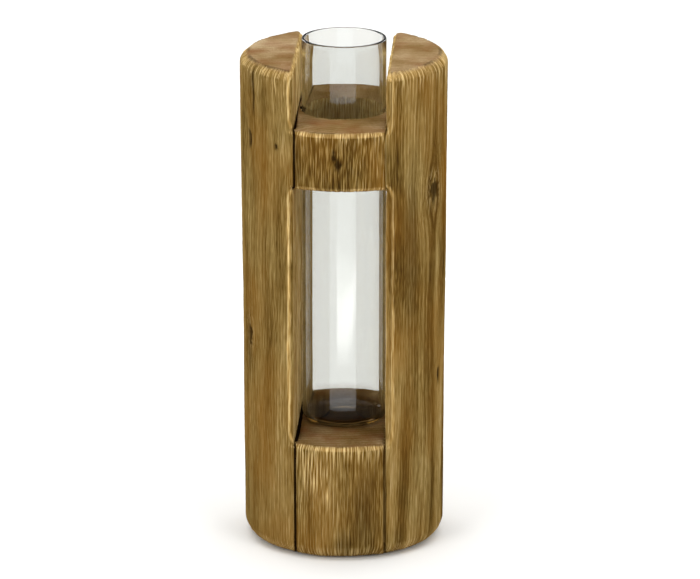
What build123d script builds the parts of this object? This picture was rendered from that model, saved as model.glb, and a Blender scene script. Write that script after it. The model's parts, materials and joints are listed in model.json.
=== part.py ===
from build123d import *
import math
import os

# A round wooden stand, glued up from four boards, that holds a removable glass tube.
# Two cheeks stand at -X and +X. Between them a lower block carries the tube and an upper bridge
# guides it, which leaves a window below the bridge and an open slot above it. Lengths are in
# millimetres, the origin is the centre of the base, +Z is up, and the openings face -Y and +Y.

# Stand: heights from the base upwards, the cheeks' thickness at the base, and the turned outline
lower_block_height = 60.0
window_height = 131.0
bridge_height = 30.0
slot_depth = 29.0
cheek_thickness = 27.5
top_flare = 1.8
base_edge_round = 9.0
top_edge_round = 5.5

# Window and slot: the round-over along their edges
opening_edge_round = 3.0

# Glass tube with a flat foot, standing on the lower block
tube_diameter = 42.0
tube_wall = 1.6
tube_floor = 3.0
tube_heel_round = 4.0
tube_foot_ring = 2.0
tube_push_up = 0.8
tube_lip_round = 0.7
tube_above_stand = 7.0

# Bore through the bridge, and the wood left between it and the glue lines
tube_clearance = 0.75
bore_side_wall = 0.75

# Fluted dowels across the glue lines
dowel_diameter = 8.0
dowel_clearance = 0.1
dowel_end_gap = 0.5
dowel_end_chamfer = 1.0
dowel_bore_wall = 2.15
dowel_cover = 3.0
flute_count = 12
flute_radius = 0.8
flute_depth = 0.35

# How far cuts reach past what they cut, and how close an edge lies to the surface that it is on
overrun = 20.0
edge_tolerance = 0.001

# Levels of the stand
bridge_floor_level = lower_block_height + window_height
bridge_top_level = bridge_floor_level + bridge_height
stand_height = bridge_top_level + slot_depth

# Widths and radii
tube_radius = tube_diameter / 2
bore_radius = tube_radius + tube_clearance
half_gap = bore_radius + bore_side_wall
base_radius = half_gap + cheek_thickness
top_radius = base_radius + top_flare
cut_reach = top_radius + overrun

# Dowels: their holes keep clear of the bore and of the stand's outside
hole_radius = dowel_diameter / 2 + dowel_clearance
dowel_offset = bore_radius + dowel_bore_wall + hole_radius
hole_depth = math.sqrt(base_radius**2 - (dowel_offset + hole_radius) ** 2) - half_gap - dowel_cover
dowel_length = 2 * (hole_depth - dowel_end_gap)
dowel_levels = {
    "upper": (bridge_floor_level + bridge_top_level) / 2,
    "lower": lower_block_height / 2,
}
sides = {"left": -1, "right": 1}
faces = {"front": -1, "back": 1}


def round_corner(outline, corner, radius):
    """Rounds the corner of a flat outline that lies nearest to a point."""
    return fillet(outline.vertices().sort_by_distance(corner)[0], radius)


def turned_blank():
    """The whole stand as one turned piece, before its openings are cut."""
    outline = make_face(
        Polyline((0, 0), (base_radius, 0), (top_radius, stand_height), (0, stand_height), close=True)
    )
    outline = round_corner(outline, (base_radius, 0), base_edge_round)
    outline = round_corner(outline, (top_radius, stand_height), top_edge_round)
    return revolve(Plane.XZ * outline, Axis.Z)


def passage(outline, floor_level, ceiling_level):
    """Cuts an outline through the stand from front to back, centred between two levels."""
    middle = Pos(0, (floor_level + ceiling_level) / 2)
    return extrude(Plane.XZ * middle * outline, amount=cut_reach, both=True)


def openings():
    """The window and the slot between the cheeks."""
    spans = [
        (lower_block_height, bridge_floor_level),
        (bridge_top_level, stand_height + overrun),
    ]
    cuts = []
    for floor_level, ceiling_level in spans:
        outline = Rectangle(2 * half_gap, ceiling_level - floor_level)
        cuts.append(passage(outline, floor_level, ceiling_level))
    return cuts


def opening_edges(stand, blank):
    """The edges where the openings leave the turned outside."""
    outside = Shell(blank.faces())

    def on_outside(edge):
        point = edge @ 0.5
        between_cheeks = abs(point.X) < half_gap + edge_tolerance
        above_base = point.Z > lower_block_height - edge_tolerance
        return between_cheeks and above_base and outside.distance_to(point) < edge_tolerance

    return stand.edges().filter_by(on_outside)


def rounded_stand():
    """The stand with its openings cut and their edges rounded over."""
    blank = turned_blank()
    stand = blank - openings()
    return fillet(opening_edges(stand, blank), opening_edge_round)


def slab(low_x, high_x, low_z, high_z):
    """A block that spans the stand from front to back, to pick out one board."""
    centre = Pos((low_x + high_x) / 2, 0, (low_z + high_z) / 2)
    return centre * Box(high_x - low_x, 2 * cut_reach, high_z - low_z)


def dowel_holes():
    """The eight holes across the glue lines, each half in a cheek and half in a middle board."""
    hole = Rot(0, 90, 0) * Cylinder(hole_radius, 2 * hole_depth)
    return [
        Pos(side * half_gap, face * dowel_offset, level) * hole
        for level in dowel_levels.values()
        for side in sides.values()
        for face in faces.values()
    ]


def left_cheek(stand):
    """The left cheek: a board with a turned outside and a flat inside, from the base to the top."""
    board = stand & slab(-cut_reach, -half_gap, -overrun, stand_height + overrun)
    return board - dowel_holes()


def upper_bridge(stand):
    """The board that the tube passes through."""
    board = stand & slab(-half_gap, half_gap, bridge_floor_level, bridge_top_level)
    bore = Pos(0, 0, dowel_levels["upper"]) * Cylinder(bore_radius, bridge_height + overrun)
    return board - bore - dowel_holes()


def lower_block(stand):
    """The board that the tube stands on."""
    return (stand & slab(-half_gap, half_gap, -overrun, lower_block_height)) - dowel_holes()


def fluted_dowel():
    """One dowel along Z, with chamfered ends and flutes that let the glue spread."""
    pin = Cylinder(dowel_diameter / 2, dowel_length)
    pin = chamfer(pin.edges().filter_by(GeomType.CIRCLE), dowel_end_chamfer)
    flute_place = dowel_diameter / 2 + flute_radius - flute_depth
    flutes = Sketch() + PolarLocations(flute_place, flute_count) * Circle(flute_radius)
    return pin - extrude(flutes, amount=dowel_length, both=True)


def glass_tube():
    """The tube: straight wall, rounded heel, melted lip, and a foot pushed up at its centre."""
    length = stand_height + tube_above_stand - lower_block_height
    inner_radius = tube_radius - tube_wall
    outline = make_face(
        Polyline(
            (0, 0),
            (tube_radius, 0),
            (tube_radius, length),
            (inner_radius, length),
            (inner_radius, tube_floor),
            (0, tube_floor),
            close=True,
        )
    )
    outline = round_corner(outline, (tube_radius, 0), tube_heel_round)
    outline = round_corner(outline, (inner_radius, tube_floor), tube_heel_round - tube_wall)
    outline = round_corner(outline, (tube_radius, length), tube_lip_round)
    outline = round_corner(outline, (inner_radius, length), tube_lip_round)
    tube = revolve(Plane.XZ * outline, Axis.Z)
    hollow_radius = tube_radius - tube_heel_round - tube_foot_ring
    ball_radius = (hollow_radius**2 + tube_push_up**2) / (2 * tube_push_up)
    tube -= Pos(0, 0, tube_push_up - ball_radius) * Sphere(ball_radius)
    return Pos(0, 0, lower_block_height) * tube


stand = rounded_stand()
cheek = left_cheek(stand)
pieces = {
    "left_cheek": cheek,
    "right_cheek": mirror(cheek, about=Plane.YZ),
    "upper_bridge": upper_bridge(stand),
    "lower_block": lower_block(stand),
    "glass_tube": glass_tube(),
}
pin = Rot(0, 90, 0) * fluted_dowel()
for row, level in dowel_levels.items():
    for side, x_sign in sides.items():
        for face, y_sign in faces.items():
            place = Pos(x_sign * half_gap, y_sign * dowel_offset, level)
            pieces[f"dowel_{row}_{side}_{face}"] = place * pin

os.makedirs("parts", exist_ok=True)
for name, piece in pieces.items():
    export_step(piece, f"parts/{name}.step")
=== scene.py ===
import json
import logging
import math
from dataclasses import dataclass
from enum import Enum
from functools import cached_property
from typing import ClassVar, NamedTuple

import bmesh
import bpy
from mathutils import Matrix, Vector, noise
from mathutils.bvhtree import BVHTree


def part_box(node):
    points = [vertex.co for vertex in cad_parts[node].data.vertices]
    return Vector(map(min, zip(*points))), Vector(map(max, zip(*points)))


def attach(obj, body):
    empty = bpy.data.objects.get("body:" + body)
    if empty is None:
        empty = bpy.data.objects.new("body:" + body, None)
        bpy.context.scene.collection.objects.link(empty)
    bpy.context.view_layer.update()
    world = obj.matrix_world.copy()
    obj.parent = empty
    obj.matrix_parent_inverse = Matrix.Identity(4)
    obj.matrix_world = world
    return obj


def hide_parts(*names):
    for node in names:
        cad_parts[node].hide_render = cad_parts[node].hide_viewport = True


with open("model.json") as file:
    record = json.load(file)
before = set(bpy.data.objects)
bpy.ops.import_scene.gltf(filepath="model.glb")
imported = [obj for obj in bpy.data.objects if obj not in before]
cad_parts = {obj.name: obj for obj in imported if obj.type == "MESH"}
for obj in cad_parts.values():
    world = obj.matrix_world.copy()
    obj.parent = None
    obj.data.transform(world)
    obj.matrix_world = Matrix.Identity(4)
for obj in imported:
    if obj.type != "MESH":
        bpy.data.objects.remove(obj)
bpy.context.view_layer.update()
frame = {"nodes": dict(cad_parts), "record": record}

log = logging.getLogger("tube_vase")

MM = 0.001

# Vertices that lie closer than this, in millimetres, are welded into one
WELD = 0.0005

# The colour sockets of a Mix node, which share their names with its number sockets
MIX_A = 6
MIX_B = 7
MIX_RESULT = 2

# How many rings a Wave texture draws in a length of two pi at a scale of one
WAVE_RINGS = 20


def linear(hex_code: str) -> tuple[float, float, float, float]:
    """Turns an sRGB hex colour to linear light.

    Args:
        hex_code: six hex digits, such as "8a6a35".

    Returns:
        Red, green, blue and an alpha of one.
    """
    parts = [int(hex_code[i : i + 2], 16) / 255 for i in (0, 2, 4)]
    light = [c / 12.92 if c <= 0.04045 else ((c + 0.055) / 1.055) ** 2.4 for c in parts]
    return (light[0], light[1], light[2], 1.0)


def add_node(
    tree: bpy.types.NodeTree,
    kind: str,
    sockets: dict[str | int, object] | None = None,
    stops: dict[float, str] | None = None,
    **settings: object,
) -> bpy.types.Node:
    """Adds one shader node with its settings, socket values and links.

    Args:
        tree: the node tree that gets the node.
        kind: the node's type name.
        sockets: what its input sockets get, by name or number: a value, or an output to link.
        stops: the sRGB hex colours of a colour ramp, by place from 0 to 1.
        **settings: properties of the node itself.

    Returns:
        The new node.
    """
    node = tree.nodes.new(kind)
    for name, value in settings.items():
        setattr(node, name, value)
    for name, value in (sockets or {}).items():
        if isinstance(value, bpy.types.NodeSocket):
            tree.links.new(value, node.inputs[name])
        else:
            node.inputs[name].default_value = value
    if stops:
        elements = node.color_ramp.elements
        while len(elements) < len(stops):
            elements.new(1.0)
        for element, (place, colour) in zip(elements, sorted(stops.items())):
            element.position = place
            element.color = linear(colour)
    return node


def stretched_noise(
    tree: bpy.types.NodeTree,
    place: bpy.types.NodeSocket,
    size: tuple[float, float, float],
    detail: float,
    roughness: float = 0.5,
    seed: float = 0.0,
) -> bpy.types.NodeSocket:
    """Noise that is drawn out along the grain.

    Args:
        tree: the material's node tree.
        place: the coordinates to read.
        size: the pattern's size along X, Y and Z, in millimetres.
        detail: how many finer layers it has.
        roughness: how strong those layers are.
        seed: how far the pattern is moved, so that no two boards are alike.

    Returns:
        The socket with the noise, from 0 to 1.
    """
    scale = tuple(1 / (length * MM) for length in size)
    moved = {"Vector": place, "Scale": scale, "Location": (seed, -seed, seed)}
    spread = add_node(tree, "ShaderNodeMapping", moved).outputs["Vector"]
    layers = {"Vector": spread, "Scale": 1.0, "Detail": detail, "Roughness": roughness}
    return add_node(tree, "ShaderNodeTexNoise", layers).outputs["Fac"]


def drawn_noise(x: float, y: float, z: float, pitch: float, run: float, seed: float) -> float:
    """Noise at a point, of one pitch across the grain and another along it."""
    return noise.noise(Vector((x / pitch, y / pitch, z / run + seed)))


def new_material(name: str) -> bpy.types.Material:
    """Starts a material.

    Args:
        name: the material's name.

    Returns:
        The material, with an empty node tree.
    """
    material = bpy.data.materials.new(name)
    material.use_nodes = True
    material.node_tree.nodes.clear()
    return material


def make_piece(bm: bmesh.types.BMesh, name: str, material: bpy.types.Material) -> bpy.types.Object:
    """Turns a mesh that was built in millimetres into a smooth object in metres.

    Args:
        bm: the mesh, which is freed.
        name: the piece's name.
        material: its finish.

    Returns:
        The new object, at the origin.
    """
    bmesh.ops.scale(bm, vec=(MM, MM, MM), verts=bm.verts)
    for face in bm.faces:
        face.smooth = True
    mesh = bpy.data.meshes.new(name)
    bm.to_mesh(mesh)
    bm.free()
    mesh.materials.append(material)
    piece = bpy.data.objects.new(name, mesh)
    bpy.context.scene.collection.objects.link(piece)
    return piece


@dataclass(frozen=True)
class Span:
    """Two values between which something fades in. The first may be the higher one."""

    start: float
    end: float

    def share(self, value: float) -> float:
        """Rises smoothly from 0 at the start to 1 at the end."""
        t = min(1.0, max(0.0, (value - self.start) / (self.end - self.start)))
        return t * t * (3 - 2 * t)


@dataclass(frozen=True)
class StandSizes:
    """Sizes of the stand in millimetres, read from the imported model."""

    half_gap: float
    block_top: float
    bridge_floor: float
    bridge_top: float
    height: float
    tube_radius: float
    tube_bore: float
    tube_foot: float
    tube_rim: float
    dowel_rows: tuple[tuple[float, float], ...]
    dowel_reach: float

    @classmethod
    def from_frame(cls) -> "StandSizes":
        """Reads the sizes from the nodes' boxes and from the mount at the tube's mouth.

        Returns:
            The sizes.
        """
        mouth = next(m for m in frame["record"]["mounts"] if m["name"] == "tube_mouth")
        bridge_low, bridge_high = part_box("upper_bridge")
        tube_low, tube_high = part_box("glass_tube")
        dowels = [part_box(node) for node in frame["nodes"] if node.startswith("dowel_")]
        return cls(
            half_gap=bridge_high.x / MM,
            block_top=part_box("lower_block")[1].z / MM,
            bridge_floor=bridge_low.z / MM,
            bridge_top=bridge_high.z / MM,
            height=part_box("left_cheek")[1].z / MM,
            tube_radius=tube_high.x / MM,
            tube_bore=mouth["dims"]["r_mm"],
            tube_foot=tube_low.z / MM,
            tube_rim=tube_high.z / MM,
            dowel_rows=tuple({(low.z / MM, high.z / MM) for low, high in dowels}),
            dowel_reach=max(high.y for low, high in dowels) / MM,
        )

    def glued(self, level: float) -> bool:
        """True at the levels where a middle board is glued between the cheeks."""
        return level < self.block_top or self.bridge_floor < level < self.bridge_top


class FlawKind(Enum):
    """What the wood shows at a flaw, and the painted shade that is drawn like one."""

    CHECK = "a crack along the grain that opened as the wood dried"
    KNOT = "a cut branch, dark in the middle, with the grain flowing round it"
    PIT = "a small hole where the brush tore out soft wood"
    # Dark patches of stain, and also painted shade: on the bridge it darkens the strip beside its left seam.
    STAIN_AND_SHADE = "a dark patch where the stain pooled"
    RUB = "a pale streak where the stain was rubbed off"


@dataclass(frozen=True)
class Flaw:
    """One flaw on the outside of a board, with lengths in millimetres.

    The bearing is in degrees round the stand from its front, and grows towards the right cheek.
    """

    board: str
    kind: FlawKind
    bearing: float
    level: float
    length: float
    width: float
    depth: float = 0.0

    def across(self, bearing: float, radius: float) -> float:
        """How far a point lies to the side of the flaw, in its half widths."""
        turn = (bearing - self.bearing + 180) % 360 - 180
        return math.radians(turn) * radius / (self.width / 2)

    def along(self, level: float) -> float:
        """How far a point lies above the flaw's middle, in its half lengths."""
        return (level - self.level) / (self.length / 2)


FLAWS = (
    Flaw("left_cheek", FlawKind.CHECK, bearing=-57.5, level=236.0, length=30.0, width=3.0, depth=0.6),
    Flaw("left_cheek", FlawKind.CHECK, bearing=-62.6, level=211.0, length=12.0, width=4.6, depth=0.7),
    Flaw("left_cheek", FlawKind.PIT, bearing=-38.2, level=211.3, length=4.5, width=2.2, depth=0.9),
    Flaw("left_cheek", FlawKind.KNOT, bearing=-64.6, level=110.6, length=15.0, width=6.0, depth=0.3),
    Flaw("right_cheek", FlawKind.KNOT, bearing=64.0, level=185.8, length=15.0, width=12.0, depth=0.5),
    Flaw("right_cheek", FlawKind.CHECK, bearing=72.1, level=88.7, length=9.0, width=4.5, depth=0.5),
    Flaw("upper_bridge", FlawKind.PIT, bearing=-0.3, level=205.0, length=9.0, width=4.6, depth=0.6),
    Flaw("upper_bridge", FlawKind.PIT, bearing=-2.9, level=209.0, length=8.0, width=2.6, depth=0.6),
    Flaw("left_cheek", FlawKind.PIT, bearing=-26.5, level=66.0, length=9.0, width=5.0, depth=1.6),
    Flaw("left_cheek", FlawKind.STAIN_AND_SHADE, bearing=-66.0, level=105.0, length=44.0, width=9.0),
    Flaw("right_cheek", FlawKind.STAIN_AND_SHADE, bearing=43.0, level=160.0, length=110.0, width=13.0),
    # Painted shade: a dark strip on the bridge's front beside its left seam, where its rounded edge falls
    # into shade.
    Flaw("upper_bridge", FlawKind.STAIN_AND_SHADE, bearing=-25.5, level=206.0, length=44.0, width=8.5),
    Flaw("lower_block", FlawKind.RUB, bearing=-7.0, level=38.0, length=26.0, width=4.5),
    Flaw("lower_block", FlawKind.RUB, bearing=-16.0, level=47.0, length=30.0, width=15.0),
    Flaw("lower_block", FlawKind.STAIN_AND_SHADE, bearing=14.0, level=26.0, length=56.0, width=15.0),
    Flaw("lower_block", FlawKind.STAIN_AND_SHADE, bearing=3.0, level=9.0, length=16.0, width=14.0),
    # Two small pale spots on the right cheek.
    Flaw("right_cheek", FlawKind.RUB, bearing=43.2, level=197.0, length=2.0, width=1.6),
    Flaw("right_cheek", FlawKind.RUB, bearing=38.2, level=240.0, length=2.4, width=1.6),
    Flaw("right_cheek", FlawKind.CHECK, bearing=118.0, level=150.0, length=46.0, width=1.4, depth=1.3),
    Flaw("left_cheek", FlawKind.KNOT, bearing=-132.0, level=64.0, length=11.0, width=6.5, depth=0.8),
    Flaw("lower_block", FlawKind.KNOT, bearing=178.0, level=28.0, length=9.0, width=6.0, depth=0.7),
    Flaw("left_cheek", FlawKind.CHECK, bearing=-150.0, level=196.0, length=34.0, width=1.4, depth=1.2),
    Flaw("right_cheek", FlawKind.PIT, bearing=146.0, level=232.0, length=4.0, width=2.2, depth=0.9),
)


class Mark(NamedTuple):
    """What flaws do to a point: its dent, how dark and pale it is, and how far the grain shifts."""

    dent: float = 0.0
    dark: float = 0.0
    pale: float = 0.0
    shift: float = 0.0


@dataclass(frozen=True)
class FlawLook:
    """How flaws show in the wood.

    Places and spans are in a flaw's half widths and half lengths, and the runs and grits of the
    noise are in millimetres.
    """

    far_across: float = 6.0
    far_along: float = 3.0
    check_wander: float = 0.7
    check_run: float = 9.0
    check_ends: Span = Span(1.0, 0.4)
    check_sides: Span = Span(1.0, 0.25)
    check_dark: float = 0.9
    patch_fade: Span = Span(1.1, 0.2)
    stain_and_shade_dark: float = 0.4
    rub_pale: float = 0.7
    pit_ragged: float = 0.5
    pit_grit: float = 1.5
    pit_fade: Span = Span(1.1, 0.4)
    pit_dark: float = 0.85
    knot_ragged: float = 0.45
    knot_grit: float = 1.8
    knot_fade: Span = Span(0.95, 0.45)
    knot_dark: float = 0.8
    knot_flow: float = 0.55
    knot_calm: float = 3.0
    halo_pale: float = 0.2
    halo_in: Span = Span(0.6, 1.0)
    halo_out: Span = Span(1.8, 1.1)

    def mark(self, flaw: Flaw, bearing: float, radius: float, point: Vector) -> Mark:
        """What one flaw does to a point of the outside.

        Args:
            flaw: the flaw.
            bearing: the point's bearing round the stand, in degrees.
            radius: its distance from the stand's axis.
            point: the point itself.

        Returns:
            The flaw's mark there.
        """
        across = flaw.across(bearing, radius)
        along = flaw.along(point.z)
        if abs(across) > self.far_across or abs(along) > self.far_along:
            return Mark()
        if flaw.kind is FlawKind.CHECK:
            wander = self.check_wander * noise.noise(Vector((0, flaw.bearing, point.z / self.check_run)))
            gap = self.check_ends.share(abs(along)) * self.check_sides.share(abs(across + wander))
            return Mark(dent=flaw.depth * gap, dark=self.check_dark * gap)
        reach = math.hypot(across, along)
        # Stain patches and the painted shade strip on the bridge both darken here.
        if flaw.kind is FlawKind.STAIN_AND_SHADE:
            return Mark(dark=self.stain_and_shade_dark * self.patch_fade.share(reach))
        if flaw.kind is FlawKind.RUB:
            return Mark(pale=self.rub_pale * self.patch_fade.share(reach))
        if flaw.kind is FlawKind.PIT:
            torn = self.pit_fade.share(reach + self.pit_ragged * noise.noise(point / self.pit_grit))
            return Mark(dent=flaw.depth * torn, dark=self.pit_dark * torn)
        rough = self.knot_ragged * noise.noise(point / self.knot_grit)
        middle = self.knot_fade.share(reach + rough)
        shift = math.copysign(flaw.width * self.knot_flow, across) * math.exp(-(reach**2) / self.knot_calm)
        halo = self.halo_pale * self.halo_in.share(reach + rough) * self.halo_out.share(reach)
        return Mark(flaw.depth * middle, self.knot_dark * middle, halo, shift)


@dataclass(frozen=True)
class BrushedGrain:
    """Relief that a wire brush leaves in softwood, with lengths in millimetres.

    The brush wears the soft wood away and leaves the hard fibres and the growth rings standing as
    ridges along the grain. A pitch lies across the grain, a run along it, and a share is how much
    of a ridge's height a pattern gives.
    """

    seed: float
    ridge_pitch: float = 0.32
    ridge_run: float = 18.0
    ridge_share: float = 0.4
    ridge_fade: Span = Span(-0.25, 0.4)
    fibre_pitch: float = 0.22
    fibre_run: float = 6.0
    fibre_share: float = 0.45
    ring_pitch: float = 1.5
    ring_share: float = 0.17
    ring_jitter: float = 0.6
    ring_sway: float = 3.0
    ring_sway_pitch: float = 26.0
    ring_sway_run: float = 90.0
    ring_presence: float = 0.65
    sway: float = 1.2
    sway_pitch: float = 28.0
    sway_run: float = 48.0
    groove_depth: float = 0.22
    hollow_depth: float = 0.4
    hollow_pitch: float = 16.0
    hollow_run: float = 60.0
    hollow_fade: Span = Span(-0.6, 0.6)
    end_depth: float = 0.25
    end_pitch: float = 2.2
    end_fade: Span = Span(-0.5, 0.5)

    def ridge(self, point: Vector) -> float:
        """How far a point of the wood stands on a ridge.

        Args:
            point: a point in the stand's frame.

        Returns:
            0 in a groove, 1 on a ridge.
        """
        z = point.z
        bend = drawn_noise(point.x, point.y, z, self.sway_pitch, self.sway_run, self.seed) * self.sway
        x = point.x + bend
        y = point.y - bend
        coarse = drawn_noise(x, y, z, self.ridge_pitch, self.ridge_run, self.seed)
        fine = drawn_noise(x, y, z, self.fibre_pitch, self.fibre_run, -self.seed)
        drift = drawn_noise(x, y, z, self.ring_sway_pitch, self.ring_sway_run, self.seed)
        place = x + drift * self.ring_sway + coarse * self.ring_jitter
        presence = max(0.0, min(1.0, self.ring_presence + drift))
        ring = math.cos(2 * math.pi * place / self.ring_pitch) * presence
        height = self.ridge_share * coarse + self.fibre_share * fine + self.ring_share * ring
        return self.ridge_fade.share(height)

    def hollow(self, point: Vector) -> float:
        """How deep the uneven surface lies below the turned one.

        Args:
            point: a point of the surface.

        Returns:
            The depth in millimetres.
        """
        pitch = self.hollow_pitch
        place = (point.x / pitch, point.y / pitch + self.seed, point.z / self.hollow_run)
        return self.hollow_depth * self.hollow_fade.share(noise.noise(Vector(place)))

    def end_grain(self, point: Vector) -> float:
        """How deep the rough end of the board lies below the sawn face, in millimetres."""
        place = (point.x / self.end_pitch, point.y / self.end_pitch, self.seed)
        return self.end_depth * self.end_fade.share(noise.noise(Vector(place)))


@dataclass(frozen=True)
class BrushedPine:
    """Pine that was wire-brushed, stained brown and rubbed back along its edges.

    The stain sits dark in the grooves, the ridges and the rubbed edges show the pale wood, and the
    ends are duller and greyer, with the growth rings across them. Lengths are in millimetres.
    """

    STAIN_TONES: ClassVar[dict[float, str]] = {
        0.0: "2c1d0a",
        0.28: "523d18",
        0.5: "735c30",
        0.72: "8e7747",
        1.0: "b59e70",
    }
    RUBBED_TONES: ClassVar[dict[float, str]] = {0.35: "8f6f38", 0.7: "bd9a5c", 1.0: "dcc088"}
    END_TONES: ClassVar[dict[float, str]] = {0.15: "46300e", 0.45: "6b5128", 0.7: "8d7450", 0.95: "b29c7a"}
    VEIN_LINES: ClassVar[dict[float, str]] = {0.45: "000000", 0.5: "ffffff", 0.55: "000000"}

    name: str
    seed: float
    shade: float
    end_shade: float
    patch_weight: float
    pith: tuple[float, float]
    ridge_weight: float = 0.32
    fibre_weight: float = 0.45
    vein_weight: float = 0.2
    fibre_width: float = 0.32
    fibre_length: float = 6.0
    patch_width: float = 6.5
    patch_length: float = 85.0
    vein_width: float = 0.4
    vein_length: float = 20.0
    cloud_size: float = 26.0
    layer_roughness: float = 0.55
    warm: str = "84591f"
    warm_weight: float = 1.3
    warm_base: float = -0.5
    rubbed_ridges: float = 0.7
    # The colour of dark marks, painted shade among them.
    dark_and_shade: str = "1d1004"
    rough_low: float = 0.5
    rough_high: float = 0.78
    bump: float = 0.12
    bump_strength: float = 0.6
    refraction: float = 1.45
    shine: float = 0.0
    ring_spacing: float = 3.4
    ring_weight: float = 0.12
    ring_distortion: float = 5.0
    ring_detail: float = 2.0
    ring_detail_scale: float = 0.35
    pore_width: float = 0.4
    pore_weight: float = 0.5
    end_cloud_weight: float = 0.9
    heart: str = "744726"
    heart_size: float = 12.0
    heart_weight: float = 1.7
    heart_base: float = -0.75

    def material(self) -> bpy.types.Material:
        """Makes the finish.

        Returns:
            A material that reads the board's own attributes for ridges, pale marks, dark marks and ends; the
            pale marks hold painted light and the dark marks painted shade.
        """
        material = new_material(self.name)
        tree = material.node_tree
        place = add_node(tree, "ShaderNodeTexCoord").outputs["Object"]
        marks = {
            mark: add_node(tree, "ShaderNodeAttribute", attribute_name=mark).outputs["Fac"]
            for mark in ("ridge", "wear_and_light", "dark_and_shade", "end")
        }
        lie = add_node(tree, "ShaderNodeAttribute", attribute_name="lie").outputs["Vector"]
        fibre = self.grain_noise(tree, lie, self.fibre_width, self.fibre_length, detail=1.0)
        patch = self.grain_noise(tree, lie, self.patch_width, self.patch_length, detail=0.0)
        streak = self.grain_noise(tree, lie, self.vein_width, self.vein_length, detail=1.0)
        vein = add_node(tree, "ShaderNodeValToRGB", {"Fac": streak}, self.VEIN_LINES).outputs["Color"]
        cloud = self.grain_noise(tree, place, self.cloud_size, self.cloud_size * 2, detail=2.0)
        tone: bpy.types.NodeSocket | float = self.shade
        for pattern, weight in (
            (marks["ridge"], self.ridge_weight),
            (fibre, self.fibre_weight),
            (patch, self.patch_weight),
            (vein, -self.vein_weight),
        ):
            terms = {0: pattern, 1: weight, 2: tone}
            tone = add_node(tree, "ShaderNodeMath", terms, operation="MULTIPLY_ADD").outputs["Value"]
        colour = add_node(tree, "ShaderNodeValToRGB", {"Fac": tone}, self.STAIN_TONES).outputs["Color"]
        terms = {0: cloud, 1: self.warm_weight, 2: self.warm_base}
        warmth = add_node(tree, "ShaderNodeMath", terms, operation="MULTIPLY_ADD").outputs["Value"]
        terms = {0: marks["ridge"], 1: self.rubbed_ridges, 2: fibre}
        bared = add_node(tree, "ShaderNodeMath", terms, operation="MULTIPLY_ADD").outputs["Value"]
        rubbed = add_node(tree, "ShaderNodeValToRGB", {"Fac": bared}, self.RUBBED_TONES).outputs["Color"]
        for share, coat in (
            (warmth, linear(self.warm)),
            (marks["end"], self.end_colour(tree, place, cloud)),
            # Pale worn wood, which also carries the painted highlight along the openings and the painted
            # light in the bore.
            (marks["wear_and_light"], rubbed),
            # Dark marks, which also carry the painted shade strip on the bridge.
            (marks["dark_and_shade"], linear(self.dark_and_shade)),
        ):
            coats = {0: share, MIX_A: colour, MIX_B: coat}
            colour = add_node(tree, "ShaderNodeMix", coats, data_type="RGBA").outputs[MIX_RESULT]
        polish = {"Value": tone, "To Min": self.rough_high, "To Max": self.rough_low}
        relief = {"Height": fibre, "Strength": self.bump_strength, "Distance": self.bump * MM}
        surface = {
            "Base Color": colour,
            "Roughness": add_node(tree, "ShaderNodeMapRange", polish).outputs["Result"],
            "Normal": add_node(tree, "ShaderNodeBump", relief).outputs["Normal"],
            "IOR": self.refraction,
            "Specular IOR Level": self.shine,
        }
        shader = add_node(tree, "ShaderNodeBsdfPrincipled", surface).outputs["BSDF"]
        add_node(tree, "ShaderNodeOutputMaterial", {"Surface": shader})
        return material

    def grain_noise(
        self,
        tree: bpy.types.NodeTree,
        place: bpy.types.NodeSocket,
        width: float,
        length: float,
        detail: float,
    ) -> bpy.types.NodeSocket:
        """One layer of the board's own noise.

        Args:
            tree: the material's node tree.
            place: the coordinates to read.
            width: the pattern's size across the grain, in millimetres.
            length: its size along the grain, in millimetres.
            detail: how many finer layers it has.

        Returns:
            The socket with the noise, from 0 to 1.
        """
        return stretched_noise(tree, place, (width, width, length), detail, self.layer_roughness, self.seed)

    def end_colour(
        self,
        tree: bpy.types.NodeTree,
        place: bpy.types.NodeSocket,
        cloud: bpy.types.NodeSocket,
    ) -> bpy.types.NodeSocket:
        """The colour of the board's ends, with growth rings about its pith.

        Args:
            tree: the material's node tree.
            place: the coordinates to read.
            cloud: the wide noise of the stain.

        Returns:
            The socket with the colour.
        """
        centred = {"Vector": place, "Location": (-self.pith[0] * MM, -self.pith[1] * MM, 0.0)}
        about_pith = add_node(tree, "ShaderNodeMapping", centred).outputs["Vector"]
        growth = {
            "Vector": about_pith,
            "Scale": 2 * math.pi / (WAVE_RINGS * self.ring_spacing * MM),
            "Distortion": self.ring_distortion,
            "Detail": self.ring_detail,
            "Detail Scale": self.ring_detail_scale,
        }
        rings = add_node(
            tree,
            "ShaderNodeTexWave",
            growth,
            wave_type="RINGS",
            rings_direction="Z",
            wave_profile="SAW",
        ).outputs["Fac"]
        pores = self.grain_noise(tree, place, self.pore_width, self.pore_width, detail=1.0)
        tone: bpy.types.NodeSocket | float = self.end_shade
        for pattern, weight in (
            (rings, self.ring_weight),
            (pores, self.pore_weight),
            (cloud, self.end_cloud_weight),
        ):
            terms = {0: pattern, 1: weight, 2: tone}
            tone = add_node(tree, "ShaderNodeMath", terms, operation="MULTIPLY_ADD").outputs["Value"]
        dull = add_node(tree, "ShaderNodeValToRGB", {"Fac": tone}, self.END_TONES).outputs["Color"]
        clump = self.grain_noise(tree, about_pith, self.heart_size, self.heart_size, detail=1.0)
        terms = {0: clump, 1: self.heart_weight, 2: self.heart_base}
        ripe = add_node(tree, "ShaderNodeMath", terms, operation="MULTIPLY_ADD").outputs["Value"]
        coats = {0: ripe, MIX_A: dull, MIX_B: linear(self.heart)}
        return add_node(tree, "ShaderNodeMix", coats, data_type="RGBA").outputs[MIX_RESULT]


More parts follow.
